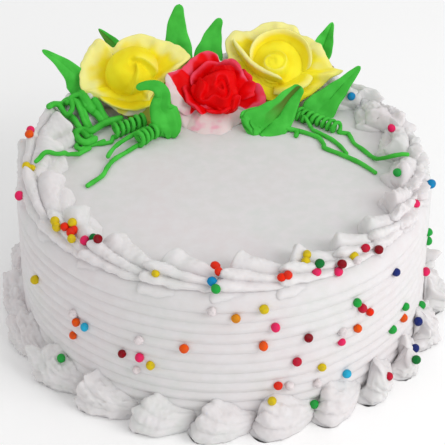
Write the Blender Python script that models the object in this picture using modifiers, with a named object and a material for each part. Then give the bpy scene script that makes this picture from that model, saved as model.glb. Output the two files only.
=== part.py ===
"""A round cream birthday cake, modelled in metres with +Z up.

The origin is the centre of the flat underside, and the front of the cake looks along -Y.
Azimuths are in degrees round +Z, from 0 at the front through +90 at +X to 180 at the back.

The cake is one combed cylinder. Slanted shells of piped cream stand in a ring on its top edge
and in another round its foot. Three piped roses, their leaves and some tendrils lie on the
back half of the top. Every separate piece is one closed body of its own.
"""
import math
import random

import bmesh
import bpy
from mathutils import Matrix, Vector

MM = 0.001

# Driving dimensions of the cake.
CAKE_RADIUS = 0.100
CAKE_HEIGHT = 0.0775
CAKE_SIDES = 40
SHOULDER_WIDTH = 0.006
SHOULDER_DROP = 0.0073
COMB_TOP_GROOVE = 0.0674
COMB_PITCH = 0.00568
COMB_GROOVES = 12
COMB_DEPTH = 0.0008

# Clearance between neighbouring solids.
GAP = 0.0003
WALL_GAP = 0.0005
SHELL_GAP_DEG = 0.5

# Piped shells: four ribs each, with a tall blunt head and a lower tail.
RIBS = 4
SHELL_LEAN = math.radians(27)
RIB_DEPTH = 0.0013
STATIONS = (0.0, 0.12, 0.42, 0.72, 1.0)
TOP_ENVELOPE = (0.72, 1.0, 0.93, 0.78, 0.58)
BASE_ENVELOPE = (0.66, 1.0, 0.96, 0.78, 0.55)
TOP_INNER_RADIUS = 0.0735
TOP_OUTER_RADIUS = 0.1022
TOP_SHELL_HEIGHT = 0.0135
TOP_DRIFT = 0.0065
BASE_OUTER_RADIUS = 0.1095
BASE_SHELL_TOP = 0.0200
BASE_BULGE = 0.0048
BASE_TOE_HEIGHT = 0.0012
SHELL_VARIATION = 0.08
SHELL_SEED = 5

# Azimuth at which each shell's head starts. The piping is uneven at the front and even behind.
TOP_FRONT_STARTS = (-94, -76, -55, -36, -17, 3, 20, 36, 49, 62, 77)
TOP_BACK_SHELLS = 10
BASE_FRONT_STARTS = (-72, -56, -39, -22, -7, 8, 23, 38, 52, 66)
BASE_BACK_SHELLS = 12

# Roses, in millimetres from the cake's top centre: foot, centre of the open petals, their radius
# and the height of the bud above them; then the lean to the front and the turn, in degrees.
ROSE_SIDES = 20
ROSES = {
    "rose_yellow_left": ((-38, 50), (-45, 58, 17), 28.0, 8.5, 18, 0),
    "rose_red": ((-4, 49), (-4, 52, 11), 24.5, 7.5, 20, 25),
    "rose_yellow_right": ((25, 60), (28, 70, 16.5), 28.5, 8.5, 18, 40),
}
# Rings of a rose: radius as a share, share of the way from foot to petals, share of the bud's
# height above the petals, lobe depth, lobes and their phase in turns.
ROSE_RINGS = (
    (0.26, 0.0, 0.00, 0.00, 1, 0.00),
    (0.50, 0.5, 0.00, 0.03, 5, 0.00),
    (1.00, 1.0, 0.00, 0.08, 5, 0.00),
    (0.82, 1.0, 0.10, 0.06, 5, 0.02),
    (0.66, 1.0, 0.75, 0.08, 4, 0.10),
    (0.48, 1.0, 0.45, 0.06, 4, 0.12),
    (0.34, 1.0, 1.00, 0.10, 3, 0.20),
    (0.16, 1.0, 0.70, 0.00, 1, 0.00),
)
ROSE_EYE = 0.85
# Vertical planes that keep the red rose clear of the yellow ones: a point and the azimuth faced.
ROSE_SPLITS = {
    "rose_yellow_left": ((-23.5, 52), 47),
    "rose_yellow_right": ((11.5, 57), -40),
}

# Leaves: foot, middle and tip in millimetres from the cake's top centre, then width and thickness.
LEAVES = {
    "leaf_far_left": ((-68, 52, 17), (-79, 56, 20), (-90, 60, 29), 13, 3.2),
    "leaf_back_left": ((-58, 78, 15.5), (-63, 85, 20), (-66, 89, 28), 10, 2.6),
    "leaf_tall": ((-19, 69, 3), (-21, 76, 23), (-23, 88, 41), 14, 4.0),
    "leaf_back_middle": ((-7.5, 71, 8), (-7, 77, 21), (-3, 85, 34), 12, 3.6),
    "leaf_back_right": ((60, 82, 15.5), (60, 85, 22), (57, 88, 31), 11, 3.2),
    "leaf_right": ((47, 43, 3), (58, 51, 14), (68, 60, 19), 15, 4.0),
    "leaf_front_right": ((15, 30, 3.5), (26, 35, 7.5), (38, 42, 15), 18, 4.0),
    "leaf_curled": ((-26, 28, 2.5), (-31, 26, 17), (-42, 24, 25), 15, 4.0),
}
LEAF_STATIONS = 7
LEAF_FACING = Vector((0.0, -0.6, 0.8))
# Section of a leaf: across and up as shares of half the width and half the thickness.
LEAF_SECTION = ((-1.0, 0.0), (-0.45, 0.9), (0.0, 0.35), (0.45, 0.9), (1.0, 0.0), (0.0, -1.0))

# Tendrils: a coil from start to end (turns, radius), then a tail, in millimetres on the cake's top.
TENDRIL_SIDES_RESOLUTION = 1
COIL_POINTS_PER_TURN = 7
TENDRILS = {
    "tendril_left_front": {
        "coil": ((-36, 31.5), (-41, 24), 4, 3.2),
        "tail": ((-41, 21), (-42, 15), (-47, 9), (-54, 5), (-57, -3), (-60, -11), (-65, -17)),
        "thickness": 2.3,
    },
    "tendril_left_middle": {
        "coil": ((-47, 32), (-55, 25), 4, 3.2),
        "tail": ((-58, 20), (-62, 18), (-67, 18)),
        "thickness": 2.0,
    },
    "tendril_left_rope": {
        "tail": ((-56, 37), (-60, 33), (-64, 30), (-67, 26), (-66, 23), (-62, 24)),
        "thickness": 3.2,
    },
    "tendril_right_coil": {
        "coil": ((42, 36), (54, 28), 5, 3.4),
        "tail": ((58, 23.5), (61, 20), (63, 15), (67, 12), (71, 11)),
        "thickness": 2.0,
    },
    "tendril_right_front": {
        "tail": ((31, 33), (34, 29), (39, 27.5), (44, 24), (47, 19), (51, 14), (59, 9), (66, 3), (71, -3)),
        "thickness": 2.3,
    },
}
TAIL_STEPS = 2

CREAM = ((0.86, 0.84, 0.84), 0.55)
YELLOW = ((0.86, 0.72, 0.04), 0.45)
RED = ((0.78, 0.01, 0.02), 0.40)
GREEN = ((0.05, 0.46, 0.04), 0.45)


def clear_scene():
    for obj in list(bpy.data.objects):
        bpy.data.objects.remove(obj, do_unlink=True)


def new_collection(name):
    collection = bpy.data.collections.new(name)
    bpy.context.scene.collection.children.link(collection)
    return collection


def new_material(name, colour, roughness):
    material = bpy.data.materials.new(name)
    material.use_nodes = True
    shader = material.node_tree.nodes["Principled BSDF"]
    shader.inputs["Base Color"].default_value = (*colour, 1.0)
    shader.inputs["Roughness"].default_value = roughness
    shader.inputs["Metallic"].default_value = 0.0
    return material


def add_object(name, data, collection, look=None):
    obj = bpy.data.objects.new(name, data)
    collection.objects.link(obj)
    if look is not None:
        data.materials.append(new_material(name + "_look", *look))
    return obj


def mesh_of(name, points, faces):
    mesh = bpy.data.meshes.new(name)
    mesh.from_pydata([tuple(point) for point in points], [], faces)
    mesh.update()
    return mesh


def loft(name, rings, tip=None):
    """Closed body through rings of equal length, each listed the same way round."""
    count = len(rings[0])
    points = [point for ring in rings for point in ring]
    faces = []
    for row in range(len(rings) - 1):
        for side in range(count):
            after = (side + 1) % count
            lower = row * count
            upper = lower + count
            faces.append((lower + side, lower + after, upper + after, upper + side))
    faces.append(tuple(reversed(range(count))))
    last = (len(rings) - 1) * count
    if tip is None:
        faces.append(tuple(range(last, last + count)))
    else:
        points.append(tip)
        for side in range(count):
            faces.append((last + side, last + (side + 1) % count, len(points) - 1))
    mesh = mesh_of(name, points, faces)
    face_outwards(mesh)
    return mesh


def face_outwards(mesh):
    solid = bmesh.new()
    solid.from_mesh(mesh)
    bmesh.ops.recalc_face_normals(solid, faces=solid.faces)
    solid.to_mesh(mesh)
    solid.free()


def on_top(point):
    """Millimetres from the centre of the cake's top, as a position in metres."""
    height = point[2] if len(point) == 3 else 0.0
    return Vector((point[0] * MM, point[1] * MM, CAKE_HEIGHT + height * MM))


# ---------------------------------------------------------------- cake


def cake_profile():
    """Radius and height down the outside, from the centre of the top to that of the underside."""
    points = [(0.0, CAKE_HEIGHT), (CAKE_RADIUS - SHOULDER_WIDTH, CAKE_HEIGHT)]
    points.append((CAKE_RADIUS - COMB_DEPTH / 2, CAKE_HEIGHT - SHOULDER_DROP))
    for groove in range(COMB_GROOVES):
        height = COMB_TOP_GROOVE - groove * COMB_PITCH
        points.append((CAKE_RADIUS - COMB_DEPTH, height))
        points.append((CAKE_RADIUS, max(height - COMB_PITCH / 2, COMB_PITCH / 3)))
    points.append((CAKE_RADIUS - COMB_DEPTH, 0.0))
    points.append((0.0, 0.0))
    return points


def build_cake(parts):
    profile = [(radius, 0.0, height) for radius, height in cake_profile()]
    edges = [(index, index + 1) for index in range(len(profile) - 1)]
    mesh = bpy.data.meshes.new("cake")
    mesh.from_pydata(profile, edges, [])
    cake = add_object("cake", mesh, parts, CREAM)
    screw = cake.modifiers.new("turn", "SCREW")
    screw.axis = "Z"
    screw.steps = CAKE_SIDES
    screw.render_steps = CAKE_SIDES
    screw.use_merge_vertices = True
    screw.merge_threshold = 0.00001
    screw.use_normal_calculate = True
    screw.use_smooth_shade = True


# ---------------------------------------------------------------- piped shells


def slanted_point(azimuth, radius, height):
    """Point of the upright plane that leans back from the radius at this azimuth."""
    anchor = Vector((math.sin(azimuth), -math.cos(azimuth), 0.0)) * TOP_INNER_RADIUS
    along = Vector((math.sin(azimuth - SHELL_LEAN), -math.cos(azimuth - SHELL_LEAN), 0.0))
    reach = math.sqrt(radius**2 - (TOP_INNER_RADIUS * math.sin(SHELL_LEAN)) ** 2)
    point = anchor + along * (reach - TOP_INNER_RADIUS * math.cos(SHELL_LEAN))
    return Vector((point.x, point.y, height))


def ribbed_arch(start, end, rise, skew, drift):
    """Points of an arch from start to end with its ribs standing out of it.

    The arch is highest nearer its start when skew is under 1. Drift crowds the ribs to the end.
    """
    chord = Vector((end[0] - start[0], end[1] - start[1]))
    normal = Vector((-chord.y, chord.x)).normalized()
    if normal.y < 0:
        normal.negate()
    points = []
    for index in range(2 * RIBS + 1):
        share = (index / (2 * RIBS)) ** drift
        height = rise * math.sin(math.pi * share**skew) ** 0.7
        if index % 2 == 1:
            height += RIB_DEPTH
        points.append(Vector(start) + chord * share + normal * height)
    return points


def top_section(step, scale):
    """Section of a top shell: its arch, then the underside that follows the cake's shoulder."""
    rest_height = CAKE_HEIGHT + GAP
    envelope = TOP_ENVELOPE[step] * scale
    share = STATIONS[step]
    inner = (TOP_INNER_RADIUS + TOP_DRIFT * share, rest_height)
    outer = (TOP_OUTER_RADIUS, CAKE_HEIGHT - SHOULDER_DROP)
    arch = ribbed_arch(inner, outer, TOP_SHELL_HEIGHT * envelope, 0.8, 1.1 - 0.25 * share)
    lip = Vector((CAKE_RADIUS + WALL_GAP, outer[1]))
    shoulder = Vector((CAKE_RADIUS - SHOULDER_WIDTH + WALL_GAP, rest_height))
    return arch + [lip, shoulder]


def base_section(step, scale):
    """Section of a base shell: from the wall over its ribs to the table, and back to the wall."""
    inner_radius = CAKE_RADIUS + WALL_GAP
    envelope = BASE_ENVELOPE[step] * scale
    inner = (inner_radius, BASE_SHELL_TOP * envelope)
    outer = (BASE_OUTER_RADIUS - 0.002 * (1 - envelope), BASE_TOE_HEIGHT)
    arch = ribbed_arch(inner, outer, BASE_BULGE * envelope, 1.0, 1.0)
    toe = Vector((outer[0] - BASE_TOE_HEIGHT, 0.0))
    heel = Vector((inner_radius, 0.0))
    return arch + [toe, heel]


def shell_spans(front_starts, back_count):
    """Start and end azimuth of every shell, the back ones sharing what the front ones leave."""
    starts = list(front_starts)
    back_span = (starts[0] + 360 - starts[-1]) / (back_count + 1)
    starts += [front_starts[-1] + back_span * (index + 1) for index in range(back_count)]
    ends = starts[1:] + [starts[0] + 360]
    return [(start, end - SHELL_GAP_DEG) for start, end in zip(starts, ends)]


def build_shells(prefix, spans, section, parts):
    rng = random.Random(SHELL_SEED)
    for number, (start, end) in enumerate(spans, 1):
        scale = 1.0 - SHELL_VARIATION * rng.random()
        rings = []
        for step, share in enumerate(STATIONS):
            azimuth = math.radians(start + (end - start) * share)
            rings.append([slanted_point(azimuth, p.x, p.y) for p in section(step, scale)])
        name = f"{prefix}_{number:02d}"
        mesh = loft(name, rings)
        mesh.shade_smooth()
        mesh.set_sharp_from_angle(angle=math.radians(50))
        add_object(name, mesh, parts, CREAM)


# ---------------------------------------------------------------- roses


def rose_mesh(name, foot, centre, radius, bud_height, tilt, turn):
    foot = on_top(foot) - Vector((0.0, 0.0, GAP))
    centre = on_top(centre)
    axis = tilt @ Vector((0.0, 0.0, bud_height * MM))
    rings = []
    for share, stem, rise, depth, lobes, phase in ROSE_RINGS:
        middle = foot.lerp(centre, stem) + axis * rise
        ring = []
        for side in range(ROSE_SIDES):
            angle = 2 * math.pi * side / ROSE_SIDES
            wave = depth * math.cos(lobes * (angle - 2 * math.pi * phase - turn))
            reach = radius * MM * share * (1 + wave)
            lift = radius * MM * wave / 2
            ring.append(middle + tilt @ Vector((reach * math.cos(angle), reach * math.sin(angle), lift)))
        rings.append(ring)
    return loft(name, rings, tip=centre + axis * ROSE_EYE)


def half_space(name, point, facing, cutters):
    """Large box that fills everything beyond a plane; facing is the way out of what stays."""
    size = 0.3
    solid = bmesh.new()
    bmesh.ops.create_cube(solid, size=size)
    mesh = bpy.data.meshes.new(name)
    solid.to_mesh(mesh)
    solid.free()
    box = add_object(name, mesh, cutters)
    box.rotation_euler = facing.to_track_quat("Z", "Y").to_euler()
    box.location = Vector(point) + facing * size / 2
    box.hide_render = True
    box.display_type = "WIRE"
    return box


def cut(obj, cutter):
    boolean = obj.modifiers.new(cutter.name, "BOOLEAN")
    boolean.operation = "DIFFERENCE"
    boolean.solver = "EXACT"
    boolean.object = cutter


def build_roses(parts, cutters):
    rest = Vector((0.0, 0.0, CAKE_HEIGHT + GAP))
    below = half_space("cut_below_top", rest, Vector((0.0, 0.0, -1.0)), cutters)
    roses = {}
    for name, (foot, centre, radius, bud_height, lean, turn) in ROSES.items():
        tilt = Matrix.Rotation(math.radians(lean), 3, "X")
        mesh = rose_mesh(name, foot, centre, radius, bud_height, tilt, math.radians(turn))
        mesh.shade_smooth()
        roses[name] = add_object(name, mesh, parts, RED if name == "rose_red" else YELLOW)
        cut(roses[name], below)
    for name, (point, azimuth) in ROSE_SPLITS.items():
        towards_red = Vector((math.sin(math.radians(azimuth)), -math.cos(math.radians(azimuth)), 0.0))
        middle = on_top(point)
        ahead = half_space("cut_front_of_" + name, middle, towards_red, cutters)
        behind = half_space("cut_behind_" + name, middle + towards_red * GAP, -towards_red, cutters)
        cut(roses[name], ahead)
        cut(roses["rose_red"], behind)


# ---------------------------------------------------------------- leaves


def through_middle(foot, middle, tip, share):
    """Point and direction on the curve that passes its three points at 0, 1/2 and 1."""
    bend = middle * 2 - (foot + tip) / 2
    point = foot * (1 - share) ** 2 + bend * (2 * share * (1 - share)) + tip * share**2
    direction = (bend - foot) * (1 - share) + (tip - bend) * share
    return point, direction.normalized()


def build_leaves(parts):
    for name, (foot, middle, tip, width, thickness) in LEAVES.items():
        foot, middle, tip = on_top(foot), on_top(middle), on_top(tip)
        rings = []
        for station in range(LEAF_STATIONS):
            share = station / LEAF_STATIONS
            centre, direction = through_middle(foot, middle, tip, share)
            across = direction.cross(LEAF_FACING).normalized()
            up = across.cross(direction).normalized()
            half_width = width * MM / 2 * (0.55 + 0.45 * math.sin(math.pi * min(share * 1.7, 1.0)))
            half_width *= 1 - share**2.5
            half_thickness = thickness * MM / 2 * (1 - 0.6 * share)
            rings.append([centre + across * (x * half_width) + up * (y * half_thickness)
                          for x, y in LEAF_SECTION])
        mesh = loft(name, rings, tip=tip)
        mesh.shade_smooth()
        add_object(name, mesh, parts, GREEN)


# ---------------------------------------------------------------- tendrils


def coil_points(start, end, turns, radius, thickness):
    """Helix round a level axis, resting on the cake's top."""
    lift = (radius + thickness / 2 + GAP / MM) + 0.2
    first = on_top((*start, lift))
    last = on_top((*end, lift))
    axis = (last - first).normalized()
    side = axis.cross(Vector((0.0, 0.0, 1.0)))
    count = turns * COIL_POINTS_PER_TURN
    points = []
    for index in range(count + 1):
        angle = 2 * math.pi * index / COIL_POINTS_PER_TURN
        centre = first.lerp(last, index / count)
        swing = side * math.cos(angle) - Vector((0.0, 0.0, 1.0)) * math.sin(angle)
        points.append(centre + swing * (radius * MM))
    return points


def smooth_route(points, steps):
    """Catmull-Rom points through a route, keeping its ends."""
    padded = [points[0] * 2 - points[1]] + points + [points[-1] * 2 - points[-2]]
    route = []
    for index in range(1, len(padded) - 2):
        a, b, c, d = padded[index - 1:index + 3]
        for step in range(steps):
            t = step / steps
            route.append((b * 2 + (c - a) * t + (a * 2 - b * 5 + c * 4 - d) * t**2
                          + (b * 3 - a - c * 3 + d) * t**3) / 2)
    route.append(points[-1])
    return route


def build_tendrils(parts):
    for name, form in TENDRILS.items():
        thickness = form["thickness"]
        lift = thickness / 2 + GAP / MM
        route = smooth_route([on_top((*point, lift)) for point in form["tail"]], TAIL_STEPS)
        if "coil" in form:
            route = coil_points(*form["coil"], thickness) + route
        curve = bpy.data.curves.new(name, "CURVE")
        curve.dimensions = "3D"
        curve.bevel_depth = thickness * MM / 2
        curve.bevel_resolution = TENDRIL_SIDES_RESOLUTION
        curve.use_fill_caps = True
        spline = curve.splines.new("POLY")
        spline.points.add(len(route) - 1)
        for spot, point in zip(spline.points, route):
            spot.co = (*point, 1.0)
        spline.use_smooth = True
        add_object(name, curve, parts, GREEN)


def main():
    clear_scene()
    parts = new_collection("cream_birthday_cake")
    cutters = new_collection("cutters")
    build_cake(parts)
    build_shells("top_shell", shell_spans(TOP_FRONT_STARTS, TOP_BACK_SHELLS), top_section, parts)
    build_shells("base_shell", shell_spans(BASE_FRONT_STARTS, BASE_BACK_SHELLS), base_section, parts)
    build_roses(parts, cutters)
    build_leaves(parts)
    build_tendrils(parts)


main()
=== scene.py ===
import math

import bmesh
import bpy
import numpy as np
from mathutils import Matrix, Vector
from mathutils.bvhtree import BVHTree


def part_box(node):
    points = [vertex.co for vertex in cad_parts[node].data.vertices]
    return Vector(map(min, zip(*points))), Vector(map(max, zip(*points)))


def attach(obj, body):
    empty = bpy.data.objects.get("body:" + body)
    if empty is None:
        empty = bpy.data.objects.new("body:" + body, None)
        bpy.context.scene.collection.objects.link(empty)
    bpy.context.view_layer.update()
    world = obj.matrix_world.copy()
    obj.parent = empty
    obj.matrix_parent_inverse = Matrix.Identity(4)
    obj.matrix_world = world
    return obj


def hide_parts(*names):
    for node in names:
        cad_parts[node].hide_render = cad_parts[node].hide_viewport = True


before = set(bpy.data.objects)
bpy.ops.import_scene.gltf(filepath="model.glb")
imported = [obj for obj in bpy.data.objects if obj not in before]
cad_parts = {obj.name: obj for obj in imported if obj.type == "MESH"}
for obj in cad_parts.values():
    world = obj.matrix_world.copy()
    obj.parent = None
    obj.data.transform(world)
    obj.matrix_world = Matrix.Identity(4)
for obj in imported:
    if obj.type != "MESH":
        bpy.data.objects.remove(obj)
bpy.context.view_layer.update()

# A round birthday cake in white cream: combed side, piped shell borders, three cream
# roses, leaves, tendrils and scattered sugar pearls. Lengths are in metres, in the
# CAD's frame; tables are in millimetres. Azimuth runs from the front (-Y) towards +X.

MM = 0.001
CAKE_RADIUS, _, CAKE_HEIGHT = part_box("cake")[1]

SHOULDER_WIDTH = 6.0 * MM
SHOULDER_DROP = 7.3 * MM

COMB_TOP_GROOVE = 67.4 * MM
COMB_PITCH = 5.68 * MM
COMB_DEPTH = 1.15 * MM

# Where the shells of the front half start, in degrees of azimuth.
TOP_FRONT_STARTS = (-94, -76, -55, -36, -17, 3, 20, 36, 49, 62, 77)
TOP_BACK_COUNT = 10
BASE_FRONT_STARTS = (-72, -56, -39, -22.5, -7, 9, 25.5, 40, 53, 66)
BASE_BACK_COUNT = 12

PEARL_RADIUS = 2.1 * MM
# Points of a piece nearer than SAME_POINT are joined; edges shorter than FLAT_FACE are dropped.
SAME_POINT = 2e-7
FLAT_FACE = 1e-7


# ---------------------------------------------------------------- small maths helpers

def smoothstep(low, high, value):
    """0 below low, 1 above high, smooth between; works on arrays."""
    share = np.clip((value - low) / (high - low), 0.0, 1.0)
    return share * share * (3.0 - 2.0 * share)


def ripple(points, seed, size, waves=9):
    """Smooth unevenness of about -1 to 1 at each point: sine waves in seeded directions."""
    rng = np.random.default_rng(seed)
    directions = rng.normal(size=(waves, 3))
    directions /= np.linalg.norm(directions, axis=1, keepdims=True)
    lengths = size * rng.uniform(0.7, 1.5, (waves, 1))
    phases = rng.uniform(0.0, 2.0 * math.pi, waves)
    total = np.sin(points @ (directions * 2.0 * math.pi / lengths).T + phases)
    return total.sum(axis=-1) / math.sqrt(waves)


def end_spacing(count):
    """count values from 0 to 1, packed towards both ends, for rounded edges."""
    return 0.5 - 0.5 * np.cos(np.linspace(0.0, math.pi, count))


def unit(vectors):
    """The vectors scaled to length 1."""
    return vectors / np.maximum(np.linalg.norm(vectors, axis=-1, keepdims=True), 1e-12)


def catmull_rom(before, here, there, after, t):
    """Points at the shares t of the way from here to there, on a curve through all four."""
    return 0.5 * (2 * here + (there - before) * t
                  + (2 * before - 5 * here + 4 * there - after) * t ** 2
                  + (3 * here - before - 3 * there + after) * t ** 3)


def smooth_route(points, spacing):
    """A curve through the points, with a point about every spacing."""
    points = np.asarray(points, dtype=float)
    padded = np.vstack([2 * points[0] - points[1], points, 2 * points[-1] - points[-2]])
    route = []
    for before, here, there, after in zip(padded, padded[1:], padded[2:], padded[3:]):
        steps = max(2, int(np.linalg.norm(there - here) / spacing))
        share = np.arange(steps)[:, None] / steps
        route.append(catmull_rom(before, here, there, after, share))
    return np.vstack(route + [points[-1:]])


def closed_curve(points, count):
    """A smooth closed curve through the points, with count places along it."""
    points = np.array(points, dtype=float)
    place = np.arange(count) * len(points) / count
    first = np.floor(place).astype(int)
    corners = (points[(first + step) % len(points)] for step in (-1, 0, 1, 2))
    return catmull_rom(*corners, (place - first)[:, None])


def on_top(points):
    """Millimetres from the middle of the cake's top, as metres in the frame."""
    return np.asarray(points, dtype=float) * MM + np.array([0.0, 0.0, CAKE_HEIGHT])


def around(azimuth, radius, height):
    """Points at these azimuths in radians, radii and heights."""
    flat = (np.sin(azimuth) * radius, -np.cos(azimuth) * radius)
    return np.stack(np.broadcast_arrays(*flat, height), axis=-1)


def polar(centre, turn, radius, height):
    """Points round centre (x, y) at these turns from the x axis, radii and heights."""
    flat = (centre[0] + np.cos(turn) * radius, centre[1] + np.sin(turn) * radius)
    return np.stack(np.broadcast_arrays(*flat, height), axis=-1)


def ring_point(degrees, radius, height):
    """A point at this azimuth in degrees, radius and height."""
    return around(math.radians(degrees), radius, height)


# ---------------------------------------------------------------- mesh helpers

def keep_above(piece, height):
    """Lifts the piece's points to this height at least."""
    for vertex in piece.data.vertices:
        vertex.co.z = max(vertex.co.z, height)


def grid_faces(rows, columns, closed=False):
    """Quads between neighbouring rows and columns of points; closed joins the last column."""
    row, column = np.meshgrid(np.arange(rows - 1), np.arange(columns - (not closed)),
                              indexing="ij")
    after = (column + 1) % columns
    corners = (row * columns + column, row * columns + after,
               (row + 1) * columns + after, (row + 1) * columns + column)
    return np.stack(corners, axis=-1).reshape(-1, 4)


class Pile:
    """Points, faces and values of several solids that become one piece."""

    def __init__(self):
        self.points = []
        self.faces = []
        self.values = {}
        self.count = 0

    def add(self, points, faces, **values):
        """Adds one solid; its faces count from 0."""
        self.points.append(points.reshape(-1, 3))
        self.faces.extend((faces + self.count).tolist())
        for key, numbers in values.items():
            filled = np.broadcast_to(numbers, points.shape[:-1]).ravel()
            self.values.setdefault(key, []).append(filled)
        self.count += len(self.points[-1])

    def add_rings(self, rings, **values):
        """A closed solid from rings of points, its ends shut by fans."""
        rows, columns = rings.shape[:2]
        first = np.repeat(rings[:1].mean(axis=1, keepdims=True), columns, axis=1)
        last = np.repeat(rings[-1:].mean(axis=1, keepdims=True), columns, axis=1)
        shut = np.concatenate([first, rings, last])
        for key in values:
            spread = np.broadcast_to(values[key], (rows, columns))
            values[key] = np.concatenate([spread[:1], spread, spread[-1:]])
        self.add(shut, grid_faces(rows + 2, columns, closed=True), **values)

    def add_sheet(self, middle, thickness, **values):
        """A closed sheet round its middle surface; thickness is 0 along the whole edge.
        A value that is a pair is for the front and the back."""
        normal = unit(np.cross(np.gradient(middle, axis=0), np.gradient(middle, axis=1)))
        half = normal * thickness[..., None] / 2
        faces = grid_faces(*middle.shape[:2])
        for side, sign in enumerate((1, -1)):
            shown = {key: value[side] if isinstance(value, tuple) else value
                     for key, value in values.items()}
            self.add(middle + sign * half, faces[:, ::sign], **shown)

    def piece(self, name, material):
        """Everything added, as one smooth mesh object with the values at its points."""
        mesh = bpy.data.meshes.new(name)
        mesh.from_pydata(np.concatenate(self.points).tolist(), [], self.faces)
        for key, parts in self.values.items():
            layer = mesh.attributes.new(key, "FLOAT", "POINT")
            layer.data.foreach_set("value", np.concatenate(parts).astype(np.float32))
        work = bmesh.new()
        work.from_mesh(mesh)
        bmesh.ops.remove_doubles(work, verts=work.verts, dist=SAME_POINT)
        bmesh.ops.dissolve_degenerate(work, edges=work.edges, dist=FLAT_FACE)
        bmesh.ops.recalc_face_normals(work, faces=work.faces)
        for face in work.faces:
            face.smooth = True
        work.to_mesh(mesh)
        work.free()
        mesh.materials.append(material)
        piece = bpy.data.objects.new(name, mesh)
        bpy.context.scene.collection.objects.link(piece)
        return piece


# ---------------------------------------------------------------- materials

def linear(red, green, blue):
    """A colour of 0 to 255 screen values as Blender's linear colour."""
    channels = []
    for value in (red, green, blue):
        share = value / 255
        channels.append(share / 12.92 if share <= 0.04045 else ((share + 0.055) / 1.055) ** 2.4)
    return (*channels, 1.0)


class Paint:
    """A node material, built one node at a time; sizes and heights are in metres."""

    def __init__(self, name, roughness, subsurface=0.0, radius=(1.0, 1.0, 1.0), scale=0.003,
                 gloss=0.12):
        self.material = bpy.data.materials.new(name)
        self.material.use_nodes = True
        self.nodes = self.material.node_tree.nodes
        self.links = self.material.node_tree.links
        self.shader = self.nodes["Principled BSDF"]
        settings = {"Roughness": roughness, "Subsurface Weight": subsurface,
                    "Subsurface Radius": radius, "Subsurface Scale": scale,
                    "Specular IOR Level": gloss}
        for socket, value in settings.items():
            self.shader.inputs[socket].default_value = value
        self.place = self.nodes.new("ShaderNodeTexCoord").outputs["Object"]

    def feed(self, socket, value):
        """Sets a number or a colour on the socket, or links another node's output to it."""
        if isinstance(value, (int, float, tuple)):
            socket.default_value = value
        else:
            self.links.new(value, socket)

    def noise(self, size, detail=2.0, rough=0.5):
        """Noise whose blotches are about size across."""
        node = self.nodes.new("ShaderNodeTexNoise")
        node.inputs["Scale"].default_value = 1.0 / size
        node.inputs["Detail"].default_value = detail
        node.inputs["Roughness"].default_value = rough
        self.links.new(self.place, node.inputs["Vector"])
        return node.outputs["Fac"]

    def value(self, name):
        """A named value that the mesh carries."""
        node = self.nodes.new("ShaderNodeAttribute")
        node.attribute_name = name
        return node.outputs["Fac"]

    def spread(self, source, low, high):
        """source from low to high becomes 0 to 1."""
        node = self.nodes.new("ShaderNodeMapRange")
        node.interpolation_type = "SMOOTHSTEP"
        node.inputs["From Min"].default_value = low
        node.inputs["From Max"].default_value = high
        self.links.new(source, node.inputs["Value"])
        return node.outputs["Result"]

    def maths(self, operation, first, second):
        """One sum of two values, each a socket or a number."""
        node = self.nodes.new("ShaderNodeMath")
        node.operation = operation
        self.feed(node.inputs[0], first)
        self.feed(node.inputs[1], second)
        return node.outputs["Value"]

    def plus_streaks(self, source, streak, amount):
        """source with this amount of a streaky noise added."""
        return self.maths("ADD", source, self.maths("MULTIPLY", streak, amount))

    def mix(self, share, first, second):
        """A colour between first and second; each is a socket or a colour."""
        node = self.nodes.new("ShaderNodeMix")
        node.data_type = "RGBA"
        self.feed(node.inputs["Factor"], share)
        self.feed(node.inputs[6], first)
        self.feed(node.inputs[7], second)
        return node.outputs[2]

    def blotched(self, size, low, high, first, second, detail=2.0):
        """Two colours in soft blotches of this size."""
        return self.mix(self.spread(self.noise(size, detail), low, high), first, second)

    def colour(self, source):
        """Sets the surface colour."""
        self.links.new(source, self.shader.inputs["Base Color"])

    def bump(self, *layers):
        """Adds relief; each layer is (source, height)."""
        normal = None
        for source, height in layers:
            node = self.nodes.new("ShaderNodeBump")
            node.inputs["Strength"].default_value = 1.0
            node.inputs["Distance"].default_value = height
            self.links.new(source, node.inputs["Height"])
            if normal:
                self.links.new(normal, node.inputs["Normal"])
            normal = node.outputs["Normal"]
        self.links.new(normal, self.shader.inputs["Normal"])

    def grain(self, size, height, fine_size, fine_height):
        """The relief of cream: small lumps of this size, and a finer grain."""
        self.bump((self.noise(size, 4, 0.6), height), (self.noise(fine_size), fine_height))


def cream_paint():
    """White whipped cream, very slightly warm, with soft blotches and fine pores."""
    paint = Paint("whipped_cream", 0.62, 0.35, (1.0, 0.92, 0.85), 0.0035)
    base = paint.blotched(0.045, 0.35, 0.65, linear(213, 214, 212), linear(218, 212, 213))
    paint.colour(paint.blotched(0.006, 0.3, 0.75, base, linear(220, 217, 218), 4))
    paint.grain(0.0022, 0.00006, 0.0006, 0.00002)
    return paint.material


def yellow_paint(name, deep, bright, pale):
    """Yellow cream, paler towards the petals' rims; olive is painted on as shade on the petals'
    backs and the cup's outside.
    """
    paint = Paint(name, 0.6, 0.2, (1.0, 0.8, 0.25), 0.002)
    edge = paint.plus_streaks(paint.value("pale"), paint.noise(0.009, 3), 0.35)
    body = paint.blotched(0.014, 0.35, 0.65, deep, bright)
    rim = paint.mix(paint.spread(edge, 0.45, 1.15), body, pale)
    # painted shade: the petals' backs and the cup's outside are darkened to olive as far as the
    # under value says
    green = paint.mix(paint.value("under"), rim, linear(176, 176, 74))
    paint.colour(paint.mix(paint.value("bare"), green, linear(226, 214, 190)))
    paint.grain(0.003, 0.00009, 0.0008, 0.00003)
    return paint.material


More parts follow.
